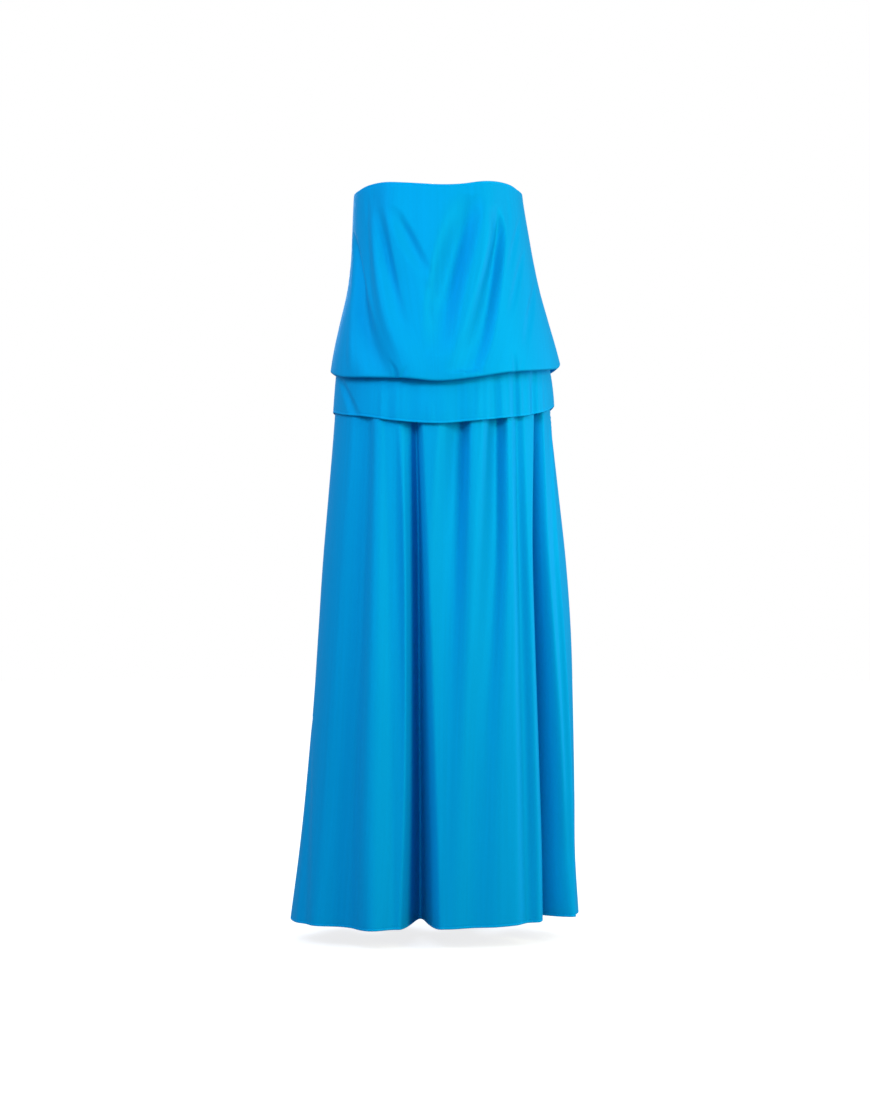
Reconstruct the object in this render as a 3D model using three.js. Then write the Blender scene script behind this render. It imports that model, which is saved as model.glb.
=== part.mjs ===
import * as THREE from "three";

// A strapless floor-length dress, standing open as if worn: a bloused bodice whose lower edge turns under,
// a short hip tier and a long flared skirt. Millimetres, +Z up, front towards -Y.
// The origin is the middle of the neckline, level with the top of the side seams.

// Cloth and seams. Panels stand SEAM_GAP apart, and the bodice's upturned edge RETURN_GAP off the tier.
const WALL = 1.5;
const SEAM_GAP = 0.3;
const RETURN_GAP = 0.8;
const TURN_RADIUS = 3;
const TURN_STEPS = 4;
const RETURN_STEPS = 2;

// Angles round the body are 0 at the front centre, +90 at +X and 180 at the back centre.
const SIDE_SEAM = 90;
const FULL_TURN = 360;

// How finely the sections are searched and measured, and the share that makes a fold's wall run straight in
const TRY_STEPS = 30;
const COLUMN_SAMPLES = 900;
const VERTICAL_WALL = 1 / (2 * Math.PI);

const CLOTH = { color: 0x0893dc, roughness: 0.5, metalness: 0 };

// Sections of each layer: half widths to -X and +X, depths to -Y and +Y, and how full the corners are.
const BODICE_SECTIONS = [
  { z: 15, left: 146, right: 146, front: 107, back: 98, full: 0.03 },
  { z: -20, left: 148, right: 150.5, front: 112, back: 101, full: 0.03 },
  { z: -70, left: 150, right: 159, front: 120, back: 105, full: 0.03 },
  { z: -120, left: 152.5, right: 168, front: 127, back: 109, full: 0.03 },
  { z: -170, left: 159, right: 179, front: 133, back: 114, full: 0.03 },
  { z: -220, left: 170.5, right: 193, front: 139, back: 120, full: 0.03 },
  { z: -270, left: 181.5, right: 207.5, front: 146, back: 128, full: 0.03 },
  { z: -310, left: 188, right: 217.5, front: 151, back: 135, full: 0.03 },
  { z: -345, left: 191, right: 224, front: 153, back: 139, full: 0.03 },
];
const TIER_SECTIONS = [
  { z: -266, left: 174, right: 185, front: 126, back: 117.5, full: 0.02 },
  { z: -300, left: 177, right: 195, front: 129, back: 120.5, full: 0.02 },
  { z: -340, left: 180.5, right: 201.5, front: 137, back: 128, full: 0.02 },
  { z: -380, left: 183.5, right: 204.5, front: 142, back: 133.5, full: 0.02 },
  { z: -410, left: 186, right: 206, front: 144, back: 136, full: 0.02 },
];
const SKIRT_SECTIONS = [
  { z: -266, left: 172, right: 182.5, front: 124, back: 115.5, full: 0.02 },
  { z: -300, left: 174.5, right: 187, front: 126, back: 118, full: 0.02 },
  { z: -405, left: 181.5, right: 198, front: 136, back: 127, full: 0.02 },
  { z: -520, left: 191, right: 211, front: 141, back: 134, full: 0.03 },
  { z: -640, left: 201, right: 224, front: 144, back: 141, full: 0.04 },
  { z: -760, left: 209, right: 232.5, front: 146, back: 147, full: 0.05 },
  { z: -880, left: 217, right: 236, front: 147, back: 153, full: 0.06 },
  { z: -1050, left: 232, right: 239, front: 148, back: 161, full: 0.06 },
  { z: -1150, left: 243, right: 240, front: 149, back: 165, full: 0.06 },
  { z: -1264, left: 258, right: 247, front: 150, back: 168, full: 0.06 },
];

// Edges: the height of each edge at angles round the body.
const NECKLINE = [
  { angle: -90, z: 0 },
  { angle: -68, z: 3 },
  { angle: -52, z: 9 },
  { angle: -38, z: 11 },
  { angle: -20, z: 8.5 },
  { angle: 0, z: 5 },
  { angle: 14, z: 6 },
  { angle: 31, z: 12 },
  { angle: 45, z: 13 },
  { angle: 57, z: 10 },
  { angle: 68, z: 4.5 },
  { angle: 90, z: 1 },
  { angle: 130, z: -1 },
  { angle: 180, z: -4 },
  { angle: 230, z: -2 },
];
const BODICE_TURN = [
  { angle: -90, z: -310 },
  { angle: -57, z: -323 },
  { angle: -32, z: -327 },
  { angle: -18, z: -329 },
  { angle: 0, z: -334 },
  { angle: 14, z: -329 },
  { angle: 33, z: -318 },
  { angle: 52, z: -312 },
  { angle: 72, z: -306 },
  { angle: 90, z: -297 },
  { angle: 135, z: -318 },
  { angle: 180, z: -330 },
  { angle: 225, z: -322 },
];
const HIP_SEAM = [
  { angle: -90, z: -278 },
  { angle: 0, z: -298 },
  { angle: 90, z: -267 },
  { angle: 180, z: -296 },
];
const TIER_HEM = [
  { angle: -90, z: -380 },
  { angle: -56, z: -388 },
  { angle: -41, z: -392 },
  { angle: -23, z: -400 },
  { angle: 0, z: -405 },
  { angle: 15, z: -401 },
  { angle: 35, z: -394 },
  { angle: 48, z: -389 },
  { angle: 66, z: -379 },
  { angle: 90, z: -368 },
  { angle: 130, z: -390 },
  { angle: 180, z: -404 },
  { angle: 230, z: -394 },
];
const SKIRT_HEM = [
  { angle: -90, z: -1262 },
  { angle: -15, z: -1262 },
  { angle: 20, z: -1259 },
  { angle: 50, z: -1252 },
  { angle: 90, z: -1251 },
  { angle: 180, z: -1262 },
];

// Folds: each runs from its top to its bottom, and its lists stand at equal steps down it.
// at is its distance from the centre line, and depth is positive in a trough and negative on a ridge.
// reach is how far it spreads along the cloth to each side, or left to -X and right to +X where they differ.
// steep is for the same two sides: a wall of 1 runs straight in, and one of more than 1 leans over.
const BODICE_FOLDS = {
  front: [
    { top: 20, bottom: -165, at: [-82, -78], depth: [-3, -7, -4, 0], reach: [40, 44] },
    { top: 20, bottom: -165, at: [82, 78], depth: [-3, -7, -4, 0], reach: [40, 44] },
    { top: -32, bottom: -280, at: [-99, -85, -69, -50], depth: [0, 6, 5, 0], reach: [13, 16, 20] },
    { top: -34, bottom: -155, at: [-72, -53, -35, -15], depth: [0, 6, 4.5, 0], reach: [14, 16, 14] },
    { top: -150, bottom: -230, at: [-28, 0], depth: [0, 2.5, 2.5, 0], reach: [12, 13, 12] },
    { top: -60, bottom: -330, at: [-148, -115, -79], depth: [0, 9, 11, 7], left: [16, 34], right: [18, 22] },
    { top: -12, bottom: -280, at: [78, 49, 30, 11], depth: [0, 8, 7, 0], reach: [24, 29, 24] },
    { top: -40, bottom: -312, at: [100, 109, 92, 44], depth: [0, 9, 8, 0], left: [14, 24], right: [14, 24] },
    { top: -92, bottom: -265, at: [149, 118], depth: [0, 4, 3.5, 0], reach: [12, 14, 12] },
    { top: -172, bottom: -300, at: [161, 161, 150], depth: [0, 4, 4, 0], reach: [14, 15, 14] },
  ],
  back: [
    { top: -20, bottom: -300, at: [-96, -92, -82, -60], depth: [0, 8, 8, 2], reach: [20, 26] },
    { top: -30, bottom: -290, at: [-20, 10], depth: [0, 6, 6, 0], reach: [20, 26] },
    { top: -24, bottom: -320, at: [84, 92, 88, 66], depth: [0, 9, 9, 4], left: [20, 26], right: [18, 26] },
  ],
};
const TIER_FOLDS = {
  front: [
    { top: -316, bottom: -392, at: [-172, -140], depth: [0, 3, 3.5, 2], left: [14, 16], right: [12, 14] },
    { top: -306, bottom: -412, at: [-84, -84], depth: [0, 1.6, 2.2, 2.4], left: [12, 12], right: [10, 10] },
    { top: -306, bottom: -412, at: [-47, -47], depth: [0, 2, 3, 3], left: [16, 18], right: [20, 24] },
    { top: -306, bottom: -412, at: [28, 36], depth: [0, 2.6, 4, 4.5], left: [30, 34], right: [22, 24] },
    { top: -302, bottom: -410, at: [90, 93], depth: [0, 2.2, 3.2, 3.2], reach: [16, 16] },
    { top: -298, bottom: -405, at: [130, 133], depth: [0, 2.6, 3.6, 3.6], left: [16, 16], right: [14, 14] },
    { top: -294, bottom: -400, at: [160, 163], depth: [0, 3, 4.2, 4.4], reach: [15, 15] },
  ],
  back: [
    { top: -304, bottom: -412, at: [-110, -110], depth: [0, 2.6, 4, 4], left: [26, 26], right: [22, 22] },
    { top: -304, bottom: -412, at: [-30, -30], depth: [0, 2.2, 3.2, 3.2], left: [24, 24], right: [28, 28] },
    { top: -304, bottom: -412, at: [62, 62], depth: [0, 2.6, 4, 4], left: [30, 30], right: [24, 24] },
    { top: -300, bottom: -406, at: [132, 132], depth: [0, 2.4, 3.6, 3.6], left: [20, 20], right: [18, 18] },
  ],
};

// The skirt's folds all run from its top to its hem, and the columns of its mesh keep to the steep ones.
const SKIRT_TOP = -290;
const SKIRT_FOOT = -1262;
const SKIRT_FOLDS = {
  front: [
    { at: [-41, -38, -36], depth: [10, 40, 74, 112], left: [9, 22], right: [20, 36], steep: [1.25, 0.6] },
    { at: [169, 171, 180, 188], depth: [8, 34, 62, 94], left: [11, 36], right: [15, 50], steep: [1.1, 0.6] },
    { at: [-114, -172], depth: [5, 12, 14, 16], left: [26, 40, 48, 54], right: [16, 48], steep: [0.1, 0.1] },
    { at: [-94, -90, -94, -104], depth: [-1, -6, -12, -22], left: [20, 46], right: [18, 40] },
    { at: [-76, -68, -62, -58], depth: [5, 3, 2, 1], reach: [14, 9, 8, 10] },
    { at: [42, 37, 22, 10], depth: [8, 12, 3, 0], left: [18, 34], right: [15, 30] },
    { at: [106, 102, 86, 70], depth: [9, 14, 8, 4], left: [18, 46], right: [15, 34], steep: [0.1, 0.1] },
    { at: [140, 152], depth: [1, 4, 7, 8], left: [12, 20], right: [10, 15] },
    { at: [126, 116], depth: [0, -2, -4, -6], left: [16, 32], right: [12, 24] },
  ],
  back: [
    { at: [78, 84, 92, 102], depth: [8, 34, 60, 84], left: [18, 52], right: [12, 34], steep: [0.5, 1] },
    { at: [-26, -14], depth: [8, 22, 38, 54], left: [18, 56], right: [16, 54], steep: [0.3, 0.3] },
    { at: [-116, -125, -142], depth: [8, 32, 54, 76], left: [12, 36], right: [18, 50], steep: [1, 0.5] },
    { at: [28, 38], depth: [2, -4, -9, -14], reach: [16, 36] },
    { at: [-74, -78], depth: [4, 6, -2, -8], reach: [14, 32] },
    { at: [184, 200, 212, 222], depth: [2, 6, 11, 16], reach: [14, 42] },
    { at: [-170, -228], depth: [2, 6, 11, 16], reach: [14, 42] },
    { at: [148, 170], depth: [5, 10, 14, 20], left: [14, 34], right: [12, 30] },
  ],
};

// The bodice's threads lean in towards the centre on their way down, by this many degrees at most.
const BODICE_GATHER = { angle: 17, top: -50, bottom: -310 };

// Columns and rows of each layer's mesh
const MESH = {
  bodice: { front: 42, back: 32, rows: 12 },
  tier: { front: 38, back: 30, rows: 4 },
  skirt: { front: 72, back: 56, rows: 14 },
};

// A smooth curve through rows sorted along one column; it returns the value of another column.
function track(positions, values) {
  const slope = (i, j) => (values[j] - values[i]) / (positions[j] - positions[i]);
  const last = positions.length - 1;
  const tangents = positions.map((_, i) => slope(Math.max(i - 1, 0), Math.min(i + 1, last)));
  return (at) => {
    if (at <= positions[0]) return values[0];
    if (at >= positions[last]) return values[last];
    let i = 0;
    while (at > positions[i + 1]) i += 1;
    const span = positions[i + 1] - positions[i];
    const t = (at - positions[i]) / span;
    const rise = t * t * (3 - 2 * t);
    const bend = span * (tangents[i] * t * (1 - t) ** 2 - tangents[i + 1] * t * t * (1 - t));
    return values[i] + (values[i + 1] - values[i]) * rise + bend;
  };
}

function sectionTracks(rows) {
  const down = rows.map((row) => -row.z);
  const names = ["left", "right", "front", "back", "full"];
  return Object.fromEntries(names.map((name) => [name, track(down, rows.map((row) => row[name]))]));
}

// An edge's height round the body: the first rows are repeated a turn later, so that it closes on itself.
function edgeTrack(rows) {
  const before = rows.slice(-2).map((row) => ({ angle: row.angle - FULL_TURN, z: row.z }));
  const after = rows.slice(0, 3).map((row) => ({ angle: row.angle + FULL_TURN, z: row.z }));
  const all = [...before, ...rows, ...after];
  return track(all.map((row) => row.angle), all.map((row) => row.z));
}

// A track down a fold from a list that stands at equal steps.
function stepTrack(values) {
  return track(values.map((_, i) => i / (values.length - 1)), values);
}

function foldTracks(table, top, bottom) {
  return ["front", "back"].flatMap((face) =>
    table[face].map((row) => ({
      face,
      top: row.top ?? top,
      bottom: row.bottom ?? bottom,
      guide: row.steep !== undefined,
      steep: row.steep ?? [0, 0],
      at: stepTrack(row.at),
      depth: stepTrack(row.depth),
      left: stepTrack(row.left ?? row.reach),
      right: stepTrack(row.right ?? row.reach),
    })),
  );
}

// The plain ring of a layer, with no folds, at an angle and a height.
function ringPoint(tracks, angle, z) {
  const turn = THREE.MathUtils.degToRad(angle);
  const wide = Math.sin(turn);
  const deep = -Math.cos(turn);
  const boost = 1 + tracks.full(-z) * Math.sin(2 * turn) ** 2;
  const width = wide < 0 ? tracks.left(-z) : tracks.right(-z);
  const depth = deep < 0 ? tracks.front(-z) : tracks.back(-z);
  return new THREE.Vector2(width * wide * boost, depth * deep * boost);
}

// The angle where the plain ring's front or back crosses a distance from the centre line.
function angleAt(tracks, face, x, z) {
  let low = -SIDE_SEAM;
  let high = SIDE_SEAM;
  for (let i = 0; i < TRY_STEPS; i += 1) {
    const middle = (low + high) / 2;
    if (ringPoint(tracks, middle, z).x < x) low = middle;
    else high = middle;
  }
  return face === "front" ? low : 2 * SIDE_SEAM - low;
}

function ringTangent(tracks, angle, z) {
  const step = 0.05;
  return ringPoint(tracks, angle + step, z)
    .sub(ringPoint(tracks, angle - step, z))
    .divideScalar(2 * step);
}

// A layer's outer face with its folds. A trough moves the cloth in, and a steep side is drawn to its edge.
function clothPoint(layer, angle, z) {
  const point = ringPoint(layer.tracks, angle, z);
  const along = ringTangent(layer.tracks, angle, z).normalize();
  const out = new THREE.Vector2(along.y, -along.x);
  for (const fold of layer.folds) {
    const share = (fold.top - z) / (fold.top - fold.bottom);
    if (share < 0 || share > 1.02) continue;
    const x = fold.at(share);
    const centre = angleAt(layer.tracks, fold.face, x, z);
    const turned = ((angle - centre + 1.5 * FULL_TURN) % FULL_TURN) - FULL_TURN / 2;
    const distance = turned * ringTangent(layer.tracks, centre, z).length();
    const towardsLeft = distance < 0 === (fold.face === "front");
    const reach = towardsLeft ? fold.left(share) : fold.right(share);
    const steep = fold.steep[towardsLeft ? 0 : 1];
    const step = 1 - Math.abs(distance) / reach;
    if (step <= 0) continue;
    const depth = (fold.depth(share) * (1 - Math.cos(Math.PI * step))) / 2;
    const pull = -Math.sign(distance) * reach * steep * VERTICAL_WALL * Math.sin(2 * Math.PI * step);
    point.addScaledVector(out, -depth).addScaledVector(along, pull);
  }
  return new THREE.Vector3(point.x, point.y, z);
}

// A column of the mesh is named by its angle at its layer's foot, and these give its angle at a height.
function gatheredAngle(layer, column, z) {
  const { angle, top, bottom } = BODICE_GATHER;
  const share = THREE.MathUtils.clamp((top - z) / (top - bottom), 0, 1);
  return column + angle * (1 - 2 * share) * Math.sin(2 * THREE.MathUtils.degToRad(column));
}

function straightAngle(layer, column) {
  return column;
}

function guideAngles(layer, z) {
  const centres = layer.folds
    .filter((fold) => fold.guide)
    .map((fold) => angleAt(layer.tracks, fold.face, fold.at((fold.top - z) / (fold.top - fold.bottom)), z));
  return [-SIDE_SEAM, SIDE_SEAM, FULL_TURN - SIDE_SEAM, ...centres].sort((a, b) => a - b);
}

function guidedAngle(layer, column, z) {
  const feet = guideAngles(layer, SKIRT_FOOT);
  const here = guideAngles(layer, z);
  let i = 0;
  while (i + 2 < feet.length && column > feet[i + 1]) i += 1;
  return THREE.MathUtils.mapLinear(column, feet[i], feet[i + 1], here[i], here[i + 1]);
}

const layers = {
  bodice: {
    tracks: sectionTracks(BODICE_SECTIONS),
    folds: foldTracks(BODICE_FOLDS),
    angleOf: gatheredAngle,
  },
  tier: {
    tracks: sectionTracks(TIER_SECTIONS),
    folds: foldTracks(TIER_FOLDS),
    angleOf: straightAngle,
  },
  skirt: {
    tracks: sectionTracks(SKIRT_SECTIONS),
    folds: foldTracks(SKIRT_FOLDS, SKIRT_TOP, SKIRT_FOOT),
    angleOf: guidedAngle,
  },
};
const edges = {
  neckline: edgeTrack(NECKLINE),
  bodiceTurn: edgeTrack(BODICE_TURN),
  hipSeam: edgeTrack(HIP_SEAM),
  tierHem: edgeTrack(TIER_HEM),
  skirtHem: edgeTrack(SKIRT_HEM),
};

function outwards(layer, angle, z) {
  const along = ringTangent(layer.tracks, angle, z).normalize();
  return new THREE.Vector3(along.y, -along.x, 0);
}

// One column of a hanging layer, from its top edge down to its hem.
function hangingColumn(layer, column, topEdge, bottomEdge, rows) {
  const top = topEdge(layer.angleOf(layer, column, topEdge(column)));
  const bottom = bottomEdge(layer.angleOf(layer, column, bottomEdge(column)));
  return Array.from({ length: rows + 1 }, (_, i) => {
    const z = THREE.MathUtils.lerp(top, bottom, i / rows);
    return clothPoint(layer, layer.angleOf(layer, column, z), z);
  });
}

// One column of the bodice: down the outside, round the turn, and up to the hip seam, on the tier.
function bodiceColumn(name) {
  const turnEdge = (angle) => edges.bodiceTurn(angle) + TURN_RADIUS;
  const column = hangingColumn(layers.bodice, name, edges.neckline, turnEdge, MESH.bodice.rows);
  const angle = gatheredAngle(layers.bodice, name, turnEdge(name));
  const turnHeight = turnEdge(angle);
  const outside = column[column.length - 1];
  const out = outwards(layers.bodice, angle, turnHeight);
  for (let i = 1; i <= TURN_STEPS; i += 1) {
    const turn = (Math.PI * i) / TURN_STEPS;
    const point = outside.clone().addScaledVector(out, TURN_RADIUS * (Math.cos(turn) - 1));
    point.z -= TURN_RADIUS * Math.sin(turn);
    column.push(point);
  }
  const start = column[column.length - 1];
  const seamHeight = edges.hipSeam(angle);
  const seam = clothPoint(layers.tier, angle, seamHeight).addScaledVector(
    outwards(layers.tier, angle, seamHeight),
    RETURN_GAP,
  );
  for (let i = 1; i <= RETURN_STEPS; i += 1) {
    const t = i / RETURN_STEPS;
    const point = start.clone().lerp(seam, t * t * (3 - 2 * t));
    point.z = THREE.MathUtils.lerp(start.z, seam.z, t);
    column.push(point);
  }
  return column;
}

const columnsOf = {
  bodice: bodiceColumn,
  tier: (name) => hangingColumn(layers.tier, name, edges.hipSeam, edges.tierHem, MESH.tier.rows),
  skirt: (name) => hangingColumn(layers.skirt, name, edges.hipSeam, edges.skirtHem, MESH.skirt.rows),
};

// Columns that stand at equal steps along the folded cloth, counted at a few heights together.
function spreadColumns(layer, from, to, count, heights) {
  const step = (to - from) / COLUMN_SAMPLES;
  const angles = Array.from({ length: COLUMN_SAMPLES + 1 }, (_, i) => from + step * i);
  const lengths = new Array(angles.length).fill(0);
  for (const z of heights) {
    const points = angles.map((column) => clothPoint(layer, layer.angleOf(layer, column, z), z));
    for (let i = 1; i < points.length; i += 1) lengths[i] += points[i].distanceTo(points[i - 1]);
  }
  for (let i = 1; i < lengths.length; i += 1) lengths[i] += lengths[i - 1];
  const spread = track(lengths, angles);
  return Array.from({ length: count }, (_, i) => spread((lengths[COLUMN_SAMPLES] * i) / count));
}

function ringColumns(name, heights) {
  const { front, back } = MESH[name];
  return [
    ...spreadColumns(layers[name], -SIDE_SEAM, SIDE_SEAM, front, heights),
    ...spreadColumns(layers[name], SIDE_SEAM, FULL_TURN - SIDE_SEAM, back, heights),
  ];
}

// The whole layer as a closed ring of columns, with the outward normal at each point.
function ringGrid(name, heights) {
  const columns = ringColumns(name, heights).map(columnsOf[name]);
  const count = columns.length;
  const rows = columns[0].length;
  const normals = columns.map((column, i) =>
    column.map((_, j) => {
      const right = columns[(i + 1) % count][j].clone().sub(columns[(i + count - 1) % count][j]);
      const down = column[Math.min(j + 1, rows - 1)].clone().sub(column[Math.max(j - 1, 0)]);
      return down.cross(right).normalize();
    }),
  );
  return { columns, normals };
}

// A panel of the ring between two seams, as one closed wall that stops half a seam gap short of each.
function panelGeometry(grid, first, last) {
  const count = grid.columns.length;
  const vertices = [];
  const width = last - first + 1;
  const rows = grid.columns[0].length;
  for (const inside of [0, WALL]) {
    for (let j = 0; j < rows; j += 1) {
      for (let i = first; i <= last; i += 1) {
        const point = grid.columns[i % count][j].clone();
        if (i === first || i === last) {
          const inner = grid.columns[(i === first ? i + 1 : i - 1) % count][j];
          point.addScaledVector(inner.clone().sub(point).normalize(), SEAM_GAP / 2);
        }
        point.addScaledVector(grid.normals[i % count][j], -inside);
        vertices.push(point.x, point.y, point.z);
      }
    }
  }
  const index = [];
  const quad = (a, b, c, d) => index.push(a, b, c, a, c, d);
  const at = (i, j) => j * width + i;
  const inner = width * rows;
  for (let j = 0; j + 1 < rows; j += 1) {
    for (let i = 0; i + 1 < width; i += 1) {
      quad(at(i, j), at(i, j + 1), at(i + 1, j + 1), at(i + 1, j));
      quad(inner + at(i, j), inner + at(i + 1, j), inner + at(i + 1, j + 1), inner + at(i, j + 1));
    }
    quad(at(0, j + 1), at(0, j), inner + at(0, j), inner + at(0, j + 1));
    quad(at(width - 1, j), at(width - 1, j + 1), inner + at(width - 1, j + 1), inner + at(width - 1, j));
  }
  for (let i = 0; i + 1 < width; i += 1) {
    quad(at(i, 0), at(i + 1, 0), inner + at(i + 1, 0), inner + at(i, 0));
    quad(at(i + 1, rows - 1), at(i, rows - 1), inner + at(i, rows - 1), inner + at(i + 1, rows - 1));
  }
  const geometry = new THREE.BufferGeometry();
  geometry.setAttribute("position", new THREE.Float32BufferAttribute(vertices, 3));
  geometry.setIndex(index);
  geometry.computeVertexNormals();
  return geometry;
}

function panel(name, geometry) {
  const mesh = new THREE.Mesh(geometry, new THREE.MeshStandardMaterial({ ...CLOTH, name }));
  mesh.name = name;
  return mesh;
}

// The front and back panels of one layer.
function layerPanels(name, heights) {
  const grid = ringGrid(name, heights);
  const { front, back } = MESH[name];
  return [
    panel(`${name}_front`, panelGeometry(grid, 0, front)),
    panel(`${name}_back`, panelGeometry(grid, front, front + back)),
  ];
}

const dress = new THREE.Group();
dress.add(...layerPanels("bodice", [-60, -180, -300]));
dress.add(...layerPanels("tier", [-350, -390]));
dress.add(...layerPanels("skirt", [-420, -700, -1000, -1250]));

export default dress;
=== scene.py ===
import math

import bpy
import numpy as np
from bpy.props import FloatProperty, FloatVectorProperty, IntProperty, PointerProperty
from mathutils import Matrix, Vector


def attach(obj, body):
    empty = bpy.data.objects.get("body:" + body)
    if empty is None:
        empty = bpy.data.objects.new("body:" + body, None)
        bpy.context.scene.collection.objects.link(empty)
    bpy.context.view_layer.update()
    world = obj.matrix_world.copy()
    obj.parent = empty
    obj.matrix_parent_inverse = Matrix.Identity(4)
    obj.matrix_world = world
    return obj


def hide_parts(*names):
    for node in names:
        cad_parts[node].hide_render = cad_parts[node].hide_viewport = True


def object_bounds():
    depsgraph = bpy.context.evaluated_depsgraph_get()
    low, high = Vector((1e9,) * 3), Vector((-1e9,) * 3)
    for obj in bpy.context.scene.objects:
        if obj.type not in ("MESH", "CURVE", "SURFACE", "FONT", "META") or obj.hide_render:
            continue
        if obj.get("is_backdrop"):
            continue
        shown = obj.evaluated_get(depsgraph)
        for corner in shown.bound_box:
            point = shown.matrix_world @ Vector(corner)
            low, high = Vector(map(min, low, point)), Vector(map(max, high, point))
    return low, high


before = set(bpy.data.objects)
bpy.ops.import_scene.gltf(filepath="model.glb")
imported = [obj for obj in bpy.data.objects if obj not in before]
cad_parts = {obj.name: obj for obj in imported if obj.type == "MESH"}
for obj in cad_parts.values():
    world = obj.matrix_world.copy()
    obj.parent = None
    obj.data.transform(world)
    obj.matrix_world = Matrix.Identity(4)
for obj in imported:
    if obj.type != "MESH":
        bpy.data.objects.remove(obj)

bl_info = {
    "name": "Strapless Dress",
    "version": (1, 0, 0),
    "blender": (4, 5, 0),
    "location": "View3D > Sidebar > Dress",
    "description": "Builds a strapless satin crepe dress with a bloused bodice, a hip tier and a long skirt",
    "category": "Add Mesh",
}

# The tables below are in millimetres and degrees. Angles round the body are 0 at the front centre,
# +90 at +X and 180 at the back centre.
MM = 0.001
SIDE_SEAM = 90
FULL_TURN = 360

# How closely angles are searched, folds tabled and columns measured, the shortest length that is divided by,
# and how far apart a tree's nodes are laid out.
SEARCH_STEPS = 30
TABLE_HEIGHTS = 160
COLUMN_SAMPLES = 900
SHORTEST = 1e-12
NODE_SPACING = 200

# A fold's side that is steep by 1 has a wall that runs straight in. A fold may spread by OVERSPREAD more than
# the values listed for it, because a curve runs through them, and ends just past its bottom.
VERTICAL_WALL = 1 / (2 * math.pi)
OVERSPREAD = 1.3
FOLD_END = 1.02

# Sections of each layer: half widths to -X and +X, depths to -Y and +Y, and how full the corners are.
SECTION_COLUMNS = ("z", "left", "right", "front", "back", "full")
BODICE_SECTIONS = [
    (15, 146, 146, 107, 98, 0.03),
    (-20, 148, 150.5, 112, 101, 0.03),
    (-70, 150, 159, 120, 105, 0.03),
    (-120, 152.5, 168, 127, 109, 0.03),
    (-170, 159, 179, 133, 114, 0.03),
    (-220, 170.5, 193, 139, 120, 0.03),
    (-270, 181.5, 207.5, 146, 128, 0.03),
    (-310, 188, 217.5, 151, 135, 0.03),
    (-345, 191, 224, 153, 139, 0.03),
]
TIER_SECTIONS = [
    (-266, 174, 185, 126, 117.5, 0.02),
    (-300, 177, 195, 129, 120.5, 0.02),
    (-340, 180.5, 201.5, 137, 128, 0.02),
    (-380, 183.5, 204.5, 142, 133.5, 0.02),
    (-410, 186, 206, 144, 136, 0.02),
]
SKIRT_SECTIONS = [
    (-266, 172, 182.5, 124, 115.5, 0.02),
    (-300, 174.5, 187, 126, 118, 0.02),
    (-405, 181.5, 198, 136, 127, 0.02),
    (-520, 191, 211, 141, 134, 0.03),
    (-640, 201, 224, 144, 141, 0.04),
    (-760, 209, 232.5, 146, 147, 0.05),
    (-880, 217, 236, 147, 153, 0.06),
    (-1050, 232, 239, 148, 161, 0.06),
    (-1150, 243, 240, 149, 165, 0.06),
    (-1264, 258, 247, 150, 168, 0.06),
]

# Edges: the angle and the height of points along each edge.
NECKLINE = [
    (-90, 0), (-68, 3), (-52, 9), (-38, 11), (-20, 8.5), (0, 5), (14, 6), (31, 12),
    (45, 13), (57, 10), (68, 4.5), (90, 1), (130, -1), (180, -4), (230, -2),
]
BODICE_TURN = [
    (-90, -310), (-57, -323), (-32, -327), (-18, -329), (0, -334), (14, -329), (33, -318),
    (52, -312), (72, -306), (90, -297), (135, -318), (180, -330), (225, -322),
]
HIP_SEAM = [(-90, -278), (0, -298), (90, -267), (180, -296)]
TIER_HEM = [
    (-90, -380), (-56, -388), (-41, -392), (-23, -400), (0, -405), (15, -401), (35, -394),
    (48, -389), (66, -379), (90, -368), (130, -390), (180, -404), (230, -394),
]
SKIRT_HEM = [(-90, -1262), (-15, -1262), (20, -1259), (50, -1252), (90, -1251), (180, -1262)]

# The skirt's long folds run from its top to its hem.
FALL = (-290, -1262)

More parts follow.
